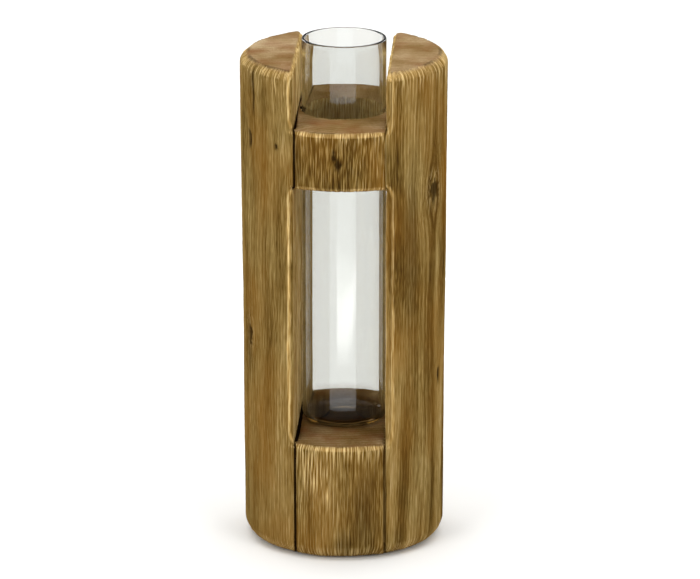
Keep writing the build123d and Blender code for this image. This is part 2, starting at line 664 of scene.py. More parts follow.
@dataclass(frozen=True)
class DrawnGlass:
    """Clear soda-lime glass, drawn as a tube and cut.

    It is clear, with a faint grey tint, has faint lines along the draw, and shines sharply. Towards the
    heavy foot and lip the tint turns brown: at the lip the deeper tint of the glass, at the foot also
    painted shade that stands for the dark wood under it and dims its reflections. Lengths are in
    millimetres.
    """

    name: str = "drawn_glass"
    tint: str = "e5e6e4"
    # Painted shade: this brown darkens the foot like the shaded wood beneath it.
    thick_and_shade_tint: str = "6a4c1e"
    refraction: float = 1.5
    line_width: float = 3.0
    line_length: float = 120.0
    line_height: float = 0.02
    line_strength: float = 0.2

    def material(self) -> bpy.types.Material:
        """Makes the finish.

        Returns:
            Glass that lets lamp light through to the wood behind it.
        """
        material = new_material(self.name)
        tree = material.node_tree
        place = add_node(tree, "ShaderNodeTexCoord").outputs["Object"]
        size = (self.line_width, self.line_width, self.line_length)
        lines = stretched_noise(tree, place, size, detail=1.0)
        relief = {"Height": lines, "Strength": self.line_strength, "Distance": self.line_height * MM}
        thick_and_shade = add_node(tree, "ShaderNodeAttribute", attribute_name="thick_and_shade").outputs["Fac"]
        tints = {0: thick_and_shade, MIX_A: linear(self.tint), MIX_B: linear(self.thick_and_shade_tint)}
        surface = {
            "Base Color": add_node(tree, "ShaderNodeMix", tints, data_type="RGBA").outputs[MIX_RESULT],
            "Normal": add_node(tree, "ShaderNodeBump", relief).outputs["Normal"],
            "Roughness": 0.0,
            "IOR": self.refraction,
            "Transmission Weight": 1.0,
        }
        shader = add_node(tree, "ShaderNodeBsdfPrincipled", surface).outputs["BSDF"]
        veil = add_node(tree, "ShaderNodeBsdfTransparent", {"Color": linear(self.tint)}).outputs["BSDF"]
        lamp_rays = add_node(tree, "ShaderNodeLightPath").outputs["Is Shadow Ray"]
        clear = add_node(tree, "ShaderNodeMixShader", {0: lamp_rays, 1: shader, 2: veil}).outputs["Shader"]
        add_node(tree, "ShaderNodeOutputMaterial", {"Surface": clear})
        return material


@dataclass(frozen=True)
class RawBeech:
    """Planed beech dowel rod with no finish: pale pink-tan, with short dark flecks along the grain."""

    FLECK_TONES: ClassVar[dict[float, str]] = {0.3: "a57f58", 0.45: "c49d72", 0.7: "d6b48a"}

    name: str = "raw_beech"
    fleck_width: float = 0.5
    fleck_length: float = 3.0
    fleck_layers: float = 3.0
    fleck_depth: float = 0.05
    fleck_strength: float = 0.3
    roughness: float = 0.65

    def material(self) -> bpy.types.Material:
        """Makes the finish.

        Returns:
            A material with its grain along X, as the dowels lie.
        """
        material = new_material(self.name)
        tree = material.node_tree
        place = add_node(tree, "ShaderNodeTexCoord").outputs["Object"]
        size = (self.fleck_length, self.fleck_width, self.fleck_width)
        flecks = stretched_noise(tree, place, size, self.fleck_layers)
        relief = {"Height": flecks, "Strength": self.fleck_strength, "Distance": self.fleck_depth * MM}
        colour = add_node(tree, "ShaderNodeValToRGB", {"Fac": flecks}, self.FLECK_TONES).outputs["Color"]
        surface = {
            "Base Color": colour,
            "Normal": add_node(tree, "ShaderNodeBump", relief).outputs["Normal"],
            "Roughness": self.roughness,
        }
        shader = add_node(tree, "ShaderNodeBsdfPrincipled", surface).outputs["BSDF"]
        add_node(tree, "ShaderNodeOutputMaterial", {"Surface": shader})
        return material


@dataclass(frozen=True)
class PaleFloor:
    """Matt white paper sweep: plain and pale, with a tooth too fine to show."""

    name: str = "white_paper"
    colour: str = "f4f4f2"
    roughness: float = 0.9
    shine: float = 0.1

    def material(self) -> bpy.types.Material:
        """Makes the finish.

        Returns:
            A matt material with no pattern.
        """
        material = new_material(self.name)
        tree = material.node_tree
        surface = {
            "Base Color": linear(self.colour),
            "Roughness": self.roughness,
            "Specular IOR Level": self.shine,
        }
        shader = add_node(tree, "ShaderNodeBsdfPrincipled", surface).outputs["BSDF"]
        add_node(tree, "ShaderNodeOutputMaterial", {"Surface": shader})
        return material


@dataclass(frozen=True)
class Station:
    """One loop of a board's mesh: its level, and how far it lies inward from skin to core."""

    level: float
    inward: float = 0.0


@dataclass(frozen=True)
class Band:
    """A stretch of a board where its loops lie closer together, in millimetres."""

    level: float
    reach: float
    pitch: float


@dataclass(frozen=True)
class Corner:
    """A corner of an opening, which the round-over leaves along an arc.

    The reach is how far the arc runs into the opening, in millimetres, and is negative downwards.
    """

    level: float
    reach: float


@dataclass(frozen=True)
class Arris:
    """A level edge of a board, where the brush combed out pale fibres, in millimetres."""

    level: float
    reach: float
    strength: float


@dataclass(frozen=True)
class Seams:
    """The open joints between the boards, with lengths in millimetres."""

    sizes: StandSizes
    left: float = 1.4
    low_right: float = 0.55
    high_right: float = 0.12
    fade: Span = Span(0.8, 0.2)

    def opening(self, point: Vector) -> float:
        """How far the joint next to a point is open.

        Args:
            point: a point of the surface.

        Returns:
            The width of its gap.
        """
        if point.x < 0:
            return self.left
        return self.low_right if point.z < self.sizes.block_top else self.high_right

    def marks(self, point: Vector) -> tuple[float, float]:
        """What the joints do to a point of the outside.

        Args:
            point: the point.

        Returns:
            How deep it is dented, and how dark it is.
        """
        if not self.sizes.glued(point.z):
            return 0.0, 0.0
        near = self.fade.share(abs(abs(point.x) - self.sizes.half_gap))
        depth = self.opening(point)
        return depth * near, near * min(1.0, depth)


@dataclass(frozen=True)
class Wear:
    """Where a board is rubbed back to pale wood, with a painted highlight along the round-over of its
    openings and painted light in its bore, and where a dark line runs along its lips.

    A lean is how far the surface's normal points up or down, and outward is how far it points away
    from the stand's axis, both up to one. Lengths are in millimetres.
    """

    sizes: StandSizes
    seed: float
    arrises: tuple[Arris, ...]
    rim_wear_and_highlight: float = 0.4
    line_offset: float = 1.2
    line_corner: float = 9.0
    line_waver: float = 0.7
    waver_pitch: float = 30.0
    waver_run: float = 13.0
    line_in: Span = Span(-2.2, -0.4)
    line_out: Span = Span(1.1, -0.1)
    line_least: float = 0.6
    line_fade: Span = Span(-0.35, 0.2)
    patch_size: float = 8.0
    patch_least: float = 0.35
    patch_fade: Span = Span(-0.35, 0.3)
    least_lean: float = 0.25
    lean_in: Span = Span(0.2, 0.4)
    lean_out: Span = Span(0.95, 0.8)
    underside: float = 0.6
    foot: float = 0.3
    combed_least: float = 0.35
    outside: float = 0.3
    bore_side: float = -0.8
    bore_painted_light: float = 1.0
    wall_wear: float = 0.42
    wall_fade: Span = Span(0.9, 0.98)
    lip_in: Span = Span(0.86, 0.94)
    lip_out: Span = Span(0.999, 0.98)
    lip_side: Span = Span(-0.1, 0.1)
    lip_dark: float = 0.5
    lip_patch: float = 9.0
    fringe_pitch: float = 1.6
    fringe_least: float = 0.25
    fringe_ridges: Span = Span(0.4, 0.8)

    def level_edge(self, point: Vector, normal: Vector) -> float:
        """How much a level edge is rubbed back.

        Args:
            point: a point of the surface.
            normal: the surface's normal there.

        Returns:
            0 for the stained wood, 1 for bare wood.
        """
        lean = abs(normal.z)
        if lean < self.least_lean:
            return 0.0
        fade = self.patch_fade.share(noise.noise(point / self.patch_size))
        patchy = self.patch_least + (1 - self.patch_least) * fade
        worn = patchy * self.lean_in.share(lean) * self.lean_out.share(lean)
        if normal.z < 0:
            return worn * (self.foot if point.z < self.sizes.block_top / 2 else self.underside)
        return worn

    # Painted highlight: a pale line along each opening's round-over stands in for light catching that edge;
    # it is drawn as worn wood.
    def opening_highlight_line(self, point: Vector) -> float:
        """How pale the line is along which the round-over of an opening leaves the turned outside, a line of
        worn wood that is also a painted highlight.

        Args:
            point: a point of the outside.

        Returns:
            0 off the line, 1 on a line that is rubbed bare and painted as a highlight.
        """
        sizes = self.sizes
        spread = self.line_offset - self.line_corner
        place = (point.x / self.waver_pitch, self.seed, point.z / self.waver_run)
        waver = self.line_waver * noise.noise(Vector(place))
        pale = 0.0
        for low, high in ((sizes.block_top, sizes.bridge_floor), (sizes.bridge_top, 2 * sizes.height)):
            x = abs(point.x) - sizes.half_gap - spread
            z = abs(point.z - (low + high) / 2) - (high - low) / 2 - spread
            inside = min(max(x, z), 0.0)
            beyond = math.hypot(max(x, 0.0), max(z, 0.0)) + inside - self.line_corner + waver
            pale = max(pale, self.line_in.share(beyond) * self.line_out.share(beyond))
        fade = self.line_fade.share(noise.noise(point / self.patch_size))
        return pale * self.rim_wear_and_highlight * (self.line_least + (1 - self.line_least) * fade)

    def wall(self, normal: Vector, outward: float) -> float:
        """How pale the unbrushed walls of the openings and of the bore are; the bore's paleness is painted
        light that lifts a wall little lamp light reaches.

        Args:
            normal: the surface's normal.
            outward: how far it points away from the stand's axis.

        Returns:
            0 for the stained wood, 1 for bare wood.
        """
        # Painted light: the bore wall is drawn as bare pale wood so that it reads lit, though little lamp
        # light reaches it.
        if outward < self.bore_side:
            return self.bore_painted_light
        return self.wall_wear * self.wall_fade.share(abs(normal.x))

    def lip(self, point: Vector, normal: Vector, outward: float) -> float:
        """How dark the line is where a flat top turns into its rounded rim.

        Args:
            point: a point of the surface.
            normal: the surface's normal there.
            outward: how far the normal points away from the stand's axis.

        Returns:
            0 off the line, 1 for the darkest stain.
        """
        line = self.lip_in.share(normal.z) * self.lip_out.share(normal.z)
        patchy = self.patch_fade.share(noise.noise(point / self.lip_patch))
        return line * self.lip_side.share(outward) * self.lip_dark * patchy

    def fringe(self, point: Vector, ridge: float) -> float:
        """How much a ridge is combed pale near a level edge.

        Args:
            point: a point of the outside.
            ridge: how far it stands on a ridge, from 0 to 1.

        Returns:
            0 for the stained wood, 1 for bare wood.
        """
        place = (point.x / self.fringe_pitch, point.y / self.fringe_pitch, self.seed)
        swing = 0.5 + 0.5 * noise.noise(Vector(place))
        pale = 0.0
        for arris in self.arrises:
            reach = arris.reach * (self.fringe_least + swing)
            near = max(0.0, 1 - abs(point.z - arris.level) / reach)
            pale = max(pale, arris.strength * near * self.fringe_ridges.share(ridge))
        return pale

    def pale(self, point: Vector, normal: Vector, outward: float, ridge: float, rubbed: float) -> float:
        """How pale the wood is worn at a point, with the painted highlight along the openings and the
        painted light in the bore.

        Args:
            point: a point of the surface.
            normal: the surface's normal there.
            outward: how far the normal points away from the stand's axis.
            ridge: how far the point stands on a ridge, from 0 to 1.
            rubbed: how much it is rubbed back as a level edge, from 0 to 1.

        Returns:
            0 for the stained wood, 1 for bare wood.
        """
        if outward <= self.outside:
            return max(rubbed, self.wall(normal, outward))
        if abs(normal.z) > self.least_lean:
            rubbed *= self.combed_least + (1 - self.combed_least) * ridge
        return max(rubbed, self.fringe(point, ridge), self.opening_highlight_line(point))


@dataclass
class Board:
    """One board of the stand, remade from its solid with the brushed grain in its surface.

    The mesh is a grid that is wrapped round the board: columns run along the grain, close enough
    to carry the ridges, and loops lie across it. Lengths are in millimetres.
    """

    node: str
    finish: BrushedPine
    grain: BrushedGrain
    sizes: StandSizes
    seams: Seams
    wear_and_light: Wear
    axis: Vector
    low: float
    high: float
    low_round: float
    high_round: float
    outline_level: float
    glue_faces: tuple[float, ...]
    corners: tuple[Corner, ...] = ()
    spine: float = 0.0
    bands: tuple[Band, ...] = ()
    flaw_look: FlawLook = FlawLook()
    column_pitch: float = 0.26
    flat_pitch: float = 0.9
    loop_pitch: float = 5.0
    flaw_pitch: float = 1.3
    flaw_margin: float = 2.0
    round_steps: int = 9
    cap_rings: int = 12
    skin_gap: float = 0.012
    fans: int = 3600
    corner_step: float = 1.0
    hole_margin: float = 1.0
    hidden_tolerance: float = 0.05
    hidden_normal: float = 0.9
    turned_radius: float = 50.0
    least_radius: float = 1.0
    turned_outward: float = 0.15
    top_end: Span = Span(0.75, 0.97)
    under_end: Span = Span(0.97, 0.995)
    worn_ridges: Span = Span(0.1, 0.7)
    ragged_depth: float = 0.5
    ragged_pitch: float = 5.0
    ragged_fade: Span = Span(-0.4, 0.4)
    edge_ease: float = 0.0
    edge_fade: Span = Span(6.5, 1.5)
    edge_turn: Span = Span(-0.5, 0.5)
    joint_fade: Span = Span(0.0, 8.0)
    wall_swell: float = 0.35
    edge_run: float = 0.0
    run_above: float = 0.0

    def build(self) -> bpy.types.Object:
        """Makes the board's mesh, dresses it and puts it in the place of its solid.

        Returns:
            The board's piece.
        """
        bm = self.wrap()
        self.close_caps(bm)
        bmesh.ops.recalc_face_normals(bm, faces=bm.faces)
        if bm.calc_volume(signed=True) < 0:
            bmesh.ops.reverse_faces(bm, faces=bm.faces)
        self.carve(bm)
        piece = make_piece(bm, f"{self.node}_brushed", self.finish.material())
        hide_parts(self.node)
        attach(piece, "stand")
        return piece

    @cached_property
    def surface(self) -> BVHTree:
        """The solid's surface in millimetres.

        Returns:
            A tree of its faces, ready for rays.
        """
        bm = bmesh.new()
        bm.from_mesh(frame["nodes"][self.node].data)
        bmesh.ops.scale(bm, vec=(1 / MM, 1 / MM, 1 / MM), verts=bm.verts)
        surface = BVHTree.FromBMesh(bm)
        bm.free()
        return surface

    @cached_property
    def flaws(self) -> list[Flaw]:
        """The flaws of this board."""
        return [flaw for flaw in FLAWS if flaw.board == self.node]

    def cast(self, direction: Vector, level: float) -> Vector:
        """Finds the skin of the board in one direction, with the dowel holes closed.

        Args:
            direction: a level direction from the board's axis.
            level: the height above the base.

        Returns:
            The point on the skin.
        """
        centre = Vector((self.axis.x, self.axis.y, level))
        margin = self.hole_margin
        if any(low - margin < level < high + margin for low, high in self.sizes.dowel_rows):
            for face in self.glue_faces:
                share = (face - centre.x) / direction.x if direction.x else -1.0
                if share > 0 and abs(centre.y + direction.y * share) < self.sizes.dowel_reach + margin:
                    return centre + direction * share
        start = centre + direction * self.sizes.height
        hit = self.surface.ray_cast(start, -direction)[0]
        return hit if hit is not None else centre

    def skin(self, direction: Vector, level: float) -> Vector:
        """The skin of the board, with the round-over of its openings run out at their corners.

        Args:
            direction: a level direction from the board's axis.
            level: the height above the base.

        Returns:
            The point on the skin.
        """
        point = self.cast(direction, level)
        for corner in self.corners:
            depth = (level - corner.level) / corner.reach
            if 0 < depth < 1:
                beyond = corner.level - math.copysign(self.corner_step, corner.reach)
                return self.run_out(point, self.cast(direction, beyond), level, 1 - depth)
        near_end = (abs(point.x) - self.sizes.half_gap) / self.edge_run + 1 if self.edge_run else 0.0
        if 0 < near_end and level > self.run_above:
            within = min(max(level, self.low + self.low_round), self.high - self.high_round)
            return self.run_out(point, self.cast(direction, within), level, near_end)
        return point

    def run_out(self, point: Vector, full: Vector, level: float, near: float) -> Vector:
        """Draws a rounded-over point out to the full section along an arc.

        Args:
            point: the point on the round-over.
            full: the point on the full section.
            level: the level of both.
            near: how near the point lies to the end of the arc, from 0 to 1.

        Returns:
            The point on the arc.
        """
        full.z = level
        return point.lerp(full, 1 - math.sqrt(max(0.0, 1 - near**2)))

    def columns(self) -> list[Vector]:
        """Directions from the axis to the columns.

        Returns:
            Level directions, which lie closer round the outside than on the flats.
        """
        turns = [2 * math.pi * i / self.fans for i in range(self.fans)]
        fan = [Vector((math.sin(turn), -math.cos(turn), 0)) for turn in turns]
        rim = [self.cast(direction, self.outline_level) for direction in fan]
        steps = []
        for before, after in zip(rim, rim[1:] + rim[:1]):
            flat = abs(abs(before.x) - self.sizes.half_gap) < self.hidden_tolerance
            steps.append((after - before).length / (self.flat_pitch if flat else self.column_pitch))
        pace = sum(steps) / round(sum(steps))
        chosen = []
        walked = 0.0
        for direction, step in zip(fan, steps):
            if walked >= len(chosen) * pace:
                chosen.append(direction)
            walked += step
        return chosen

    def side_levels(self) -> list[float]:
        """Levels of the loops up the board's side, closer at its rounded ends and in its bands.

        Returns:
            The levels from the lowest to the highest.
        """
        turns = [math.pi / 2 * i / self.round_steps for i in range(self.round_steps + 1)]
        rises = [1 - math.cos(turn) for turn in turns]
        low_levels = [self.low + max(self.skin_gap, self.low_round * rise) for rise in rises]
        high_levels = [self.high - max(self.skin_gap, self.high_round * rise) for rise in rises]
        dents = [flaw for flaw in self.flaws if flaw.depth > 0]
        bands = [Band(flaw.level, flaw.length / 2 + self.flaw_margin, self.flaw_pitch) for flaw in dents]
        bands += self.bands
        levels = []
        level = low_levels[-1]
        while level < high_levels[-1]:
            levels.append(level)
            pitches = [band.pitch for band in bands if abs(level - band.level) < band.reach]
            level += min(pitches, default=self.loop_pitch)
        return low_levels[:-1] + levels + high_levels[::-1]

    def stations(self) -> list[Station]:
        """The loops from the middle of the underside to the middle of the top.

        Returns:
            The loops in order.
        """
        side = self.side_levels()
        shares = [(i + 1) / (self.cap_rings + 1) for i in range(self.cap_rings)]
        under = [Station(side[0], share) for share in reversed(shares)]
        over = [Station(side[-1], share) for share in shares]
        return under + [Station(level) for level in side] + over

    def core(self, skin: Vector, direction: Vector) -> Vector:
        """The point inside the board that a cap's rings close in on."""
        return Vector((self.axis.x, max(-self.spine, min(self.spine, skin.y)), skin.z))

    def wrap(self) -> bmesh.types.BMesh:
        """Wraps a grid round the board.

        Returns:
            The mesh, open in the middle of its caps.
        """
        columns = self.columns()
        stations = self.stations()
        grid_half = 0.5
        bm = bmesh.new()
        bmesh.ops.create_grid(bm, x_segments=len(columns), y_segments=len(stations) - 1, size=grid_half)
        skins: dict[tuple[int, float], Vector] = {}
        for vert in bm.verts:
            column = round((vert.co.x + grid_half) * len(columns)) % len(columns)
            station = stations[round((vert.co.y + grid_half) * (len(stations) - 1))]
            key = (column, station.level)
            if key not in skins:
                skins[key] = self.skin(columns[column], station.level)
            vert.co = skins[key].lerp(self.core(skins[key], columns[column]), station.inward)
        bmesh.ops.remove_doubles(bm, verts=bm.verts, dist=WELD)
        return bm

    def close_caps(self, bm: bmesh.types.BMesh) -> None:
        """Closes the slits in the middle of the caps.

        Args:
            bm: the wrapped mesh.
        """
        rims = [edge for edge in bm.edges if edge.is_boundary]
        filled = bmesh.ops.holes_fill(bm, edges=rims, sides=len(rims))["faces"]
        bmesh.ops.triangulate(bm, faces=filled)

    def hidden(self, point: Vector, normal: Vector) -> bool:
        """True on a glue face, where the board meets its neighbour."""
        on_face = abs(abs(point.x) - self.sizes.half_gap) < self.hidden_tolerance
        return on_face and self.sizes.glued(point.z) and abs(normal.x) > self.hidden_normal

    def eased_edge(self, point: Vector, outward: float) -> float:
        """How deep an upright edge of an opening is rounded beyond its solid, in millimetres.

        Args:
            point: a point of the surface.
            outward: how far the surface's normal points away from the stand's axis.

        Returns:
            The depth, which is below zero where the wall of the opening swells towards its edge.
        """
        if self.edge_ease == 0 or self.sizes.glued(point.z):
            return 0.0
        corner = math.sqrt(self.turned_radius**2 - self.sizes.half_gap**2)
        reach = math.hypot(abs(point.x) - self.sizes.half_gap, abs(point.y) - corner)
        joints = (self.sizes.block_top, self.sizes.bridge_floor, self.sizes.bridge_top)
        clear = min(abs(point.z - joint) for joint in joints)
        turned = self.edge_turn.share(outward) * (1 + self.wall_swell) - self.wall_swell
        return self.edge_ease * turned * self.edge_fade.share(reach) * self.joint_fade.share(clear)

    def flaw_mark(self, point: Vector, radius: float) -> Mark:
        """What all the board's flaws do to a point of its outside.

        Args:
            point: the point.
            radius: its distance from the stand's axis.

        Returns:
            The dents and shifts added up, and the darkest and palest of the rest.
        """
        bearing = math.degrees(math.atan2(point.x, -point.y))
        marks = [self.flaw_look.mark(flaw, bearing, radius, point) for flaw in self.flaws]
        return Mark(
            dent=sum(mark.dent for mark in marks),
            dark=max((mark.dark for mark in marks), default=0.0),
            pale=max((mark.pale for mark in marks), default=0.0),
            shift=sum(mark.shift for mark in marks),
        )

    def carve(self, bm: bmesh.types.BMesh) -> None:
        """Presses the grain, the flaws and the seams into the surface, and marks it for the finish.

        Args:
            bm: the closed mesh of the board.
        """
        bm.normal_update()
        layers = {name: bm.verts.layers.float.new(name) for name in ("ridge", "wear_and_light", "dark_and_shade", "end")}
        lie = bm.verts.layers.float_vector.new("lie")
        for vert in bm.verts:
            point = vert.co.copy()
            normal = vert.normal.copy()
            radius = math.hypot(point.x, point.y)
            arm = max(radius, self.least_radius)
            outward = (normal.x * point.x + normal.y * point.y) / arm
            outside = outward > self.wear_and_light.outside
            end = self.top_end.share(normal.z) + self.under_end.share(-normal.z)
            source = point.copy()
            if outward > self.turned_outward and radius > self.sizes.half_gap:
                source.x *= self.turned_radius / radius
                source.y *= self.turned_radius / radius
            flaw = self.flaw_mark(point, radius) if outside else Mark()
            source -= Vector((-point.y, point.x, 0)) / arm * flaw.shift
            ridge = self.grain.ridge(source)
            pressed = flaw.dent
            wear_and_light = flaw.pale * self.worn_ridges.share(ridge)
            if self.hidden(point, normal):
                dark_and_shade = min(1.0, self.seams.opening(point))
            else:
                groove = self.grain.groove_depth * (1 - ridge)
                pressed += (1 - end) * (groove + self.grain.hollow(point))
                pressed += end * self.grain.end_grain(point)
                rubbed = self.wear_and_light.level_edge(point, normal)
                ragged = self.ragged_fade.share(noise.noise(point / self.ragged_pitch))
                pressed += rubbed * self.ragged_depth * ragged
                pressed += self.eased_edge(point, outward)
                # Pale marks: real wear, with the painted highlight along the openings and the painted light
                # in the bore.
                wear_and_light = max(wear_and_light, self.wear_and_light.pale(point, normal, outward, ridge, rubbed))
                dent, dark = self.seams.marks(point) if outside else (0.0, 0.0)
                pressed += dent
                # Dark marks from flaws, seams and the lip line; the bridge's stain flaw beside its left seam
                # is painted shade.
                dark_and_shade = max(flaw.dark, dark, self.wear_and_light.lip(point, normal, outward))
            vert[layers["ridge"]] = ridge
            vert[layers["wear_and_light"]] = wear_and_light
            vert[layers["dark_and_shade"]] = dark_and_shade
            vert[layers["end"]] = end
            vert[lie] = source * MM
            vert.co = point - normal * pressed
            vert.co.z = min(max(vert.co.z, self.low), self.high)


@dataclass
class Bridge(Board):
    """The board that the tube passes through: a closed ring round its bore."""

    bore_radius: float = 0.0
    bore_loops: int = 10

    def stations(self) -> list[Station]:
        """The loops up the outside, over the top, down the bore and under the floor.

        Returns:
            The loops in order.
        """
        side = self.side_levels()
        shares = [(i + 1) / self.cap_rings for i in range(self.cap_rings)]
        over = [Station(side[-1], share) for share in shares]
        drop = side[-1] - side[0]
        bore = [Station(side[-1] - drop * (i + 1) / self.bore_loops, 1.0) for i in range(self.bore_loops)]
        under = [Station(side[0], share) for share in reversed([0.0] + shares[:-1])]
        return [Station(level) for level in side] + over + bore + under

    def core(self, skin: Vector, direction: Vector) -> Vector:
        """The point of the bore's wall in the same direction."""
        return Vector((direction.x * self.bore_radius, direction.y * self.bore_radius, skin.z))

    def close_caps(self, bm: bmesh.types.BMesh) -> None:
        """Leaves the ring as it is, because its loops already close."""


@dataclass
class GlassTube:
    """The glass tube: straight wall, rounded heel, melted lip and a foot pushed up at its centre.

    Lengths are in millimetres.
    """

    sizes: StandSizes
    finish: DrawnGlass
    floor: float = 3.0
    heel_round: float = 4.0
    foot_ring: float = 2.0
    push_up: float = 0.8
    lip_round: float = 0.7
    lip_tint: float = 0.15
    foot_height: float = 7.0
    wall_loops: int = 24
    arc_steps: int = 8
    turn_steps: int = 192

    def arc(self, x: float, z: float, radius: float, start: float, end: float) -> list[Vector]:
        """Points of an arc of the outline.

        Args:
            x: the arc centre's distance from the axis.
            z: its height above the foot.
            radius: the arc's radius.
            start: the first angle in degrees, from +X towards +Z.
            end: the last angle in degrees.

        Returns:
            The points in order, both ends among them.
        """
        turns = [math.radians(start + (end - start) * i / self.arc_steps) for i in range(self.arc_steps + 1)]
        return [Vector((x + radius * math.cos(turn), 0, z + radius * math.sin(turn))) for turn in turns]

    def outline(self) -> list[Vector]:
        """The section of the glass from the middle of the foot round to the middle of its floor.

        Returns:
            The points in order.
        """
        outer = self.sizes.tube_radius
        inner = self.sizes.tube_bore
        length = self.sizes.tube_rim - self.sizes.tube_foot
        lip = self.lip_round
        heel = self.heel_round
        inner_heel = heel - (outer - inner)
        hollow = outer - heel - self.foot_ring
        steps = [i / self.arc_steps for i in range(self.arc_steps + 1)]
        rises = [i / self.wall_loops for i in range(1, self.wall_loops)]
        low = self.floor + inner_heel
        points = [Vector((hollow * step, 0, self.push_up * (1 - step**2))) for step in steps]
        points += self.arc(outer - heel, heel, heel, -90, 0)
        points += [Vector((outer, 0, heel + (length - lip - heel) * rise)) for rise in rises]
        points += self.arc(outer - lip, length - lip, lip, 0, 90)
        points += self.arc(inner + lip, length - lip, lip, 90, 180)
        points += [Vector((inner, 0, length - lip - (length - lip - low) * rise)) for rise in rises]
        points += self.arc(inner - inner_heel, low, inner_heel, 0, -90)
        points += [Vector(((inner - inner_heel) * (1 - step), 0, self.floor)) for step in steps[1:]]
        return points

    def build(self) -> bpy.types.Object:
        """Spins the section into the tube and puts it in the place of its solid.

        Returns:
            The tube's piece.
        """
        bm = bmesh.new()
        verts = [bmesh.ops.create_vert(bm, co=point)["vert"][0] for point in self.outline()]
        edges = [bm.edges.new(pair) for pair in zip(verts, verts[1:])]
        bmesh.ops.spin(
            bm,
            geom=verts + edges,
            cent=(0, 0, 0),
            axis=(0, 0, 1),
            angle=2 * math.pi,
            steps=self.turn_steps,
            use_merge=True,
        )
        bmesh.ops.remove_doubles(bm, verts=bm.verts, dist=WELD)
        bmesh.ops.recalc_face_normals(bm, faces=bm.faces)
        thick_and_shade = bm.verts.layers.float.new("thick_and_shade")
        lip = self.sizes.tube_rim - self.sizes.tube_foot - self.lip_round
        foot_fade = Span(self.foot_height, self.floor)
        lip_fade = Span(lip, lip + self.lip_round)
        for vert in bm.verts:
            # The tint mask: full at the foot, where it is painted shade, and a little at the lip.
            vert[thick_and_shade] = foot_fade.share(vert.co.z) + self.lip_tint * lip_fade.share(vert.co.z)
        bmesh.ops.translate(bm, vec=(0, 0, self.sizes.tube_foot), verts=bm.verts)
        piece = make_piece(bm, "glass_tube_drawn", self.finish.material())
        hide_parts("glass_tube")
        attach(piece, "tube")
        return piece


@dataclass
class Dowels:
    """The dowels inside the glue lines, which keep their solids and get a finish."""

    finish: RawBeech

    def dress(self) -> list[bpy.types.Object]:
        """Gives each dowel its material.

        Returns:
            The dowels.
        """
        material = self.finish.material()
        dowels = [node for name, node in frame["nodes"].items() if name.startswith("dowel_")]
        for dowel in dowels:
            for place in dowel.material_slots:
                place.material = material
        return dowels


class Side(Enum):
    """Which way along X a cheek stands from the axis."""

    LEFT = -1
    RIGHT = 1


@dataclass(frozen=True)
class CheekLook:
    """What sets one cheek apart from the other, with lengths in millimetres."""

    node: str
    side: Side
    finish: BrushedPine
    grain: BrushedGrain
    edge_ease: float
    rim_wear_and_highlight: float
    line_offset: float


LEFT_CHEEK = CheekLook(
    node="left_cheek",
    side=Side.LEFT,
    finish=BrushedPine(
        name="brushed_pine_left_cheek",
        seed=-3.0,
        shade=-0.05,
        end_shade=-0.03,
        patch_weight=0.5,
        pith=(-30.0, 75.0),
    ),
    grain=BrushedGrain(seed=5.6),
    edge_ease=0.4,
    rim_wear_and_highlight=0.9,
    line_offset=3.0,
)

RIGHT_CHEEK = CheekLook(
    node="right_cheek",
    side=Side.RIGHT,
    finish=BrushedPine(
        name="brushed_pine_right_cheek",
        seed=3.0,
        shade=-0.32,
        end_shade=-0.03,
        patch_weight=1.0,
        pith=(30.0, 75.0),
    ),
    grain=BrushedGrain(seed=17.0),
    edge_ease=1.5,
    rim_wear_and_highlight=0.55,
    line_offset=4.0,
)

BLOCK_PINE = BrushedPine(
    name="brushed_pine_lower_block",
    seed=7.0,
    shade=-0.155,
    end_shade=-0.17,
    patch_weight=0.45,
    pith=(-12.0, 70.0),
    ridge_weight=0.5,
)

BRIDGE_PINE = BrushedPine(
    name="brushed_pine_upper_bridge",
    seed=-5.0,
    shade=-0.25,
    end_shade=-0.17,
    patch_weight=0.35,
    pith=(15.0, -75.0),
    ridge_weight=0.66,
)


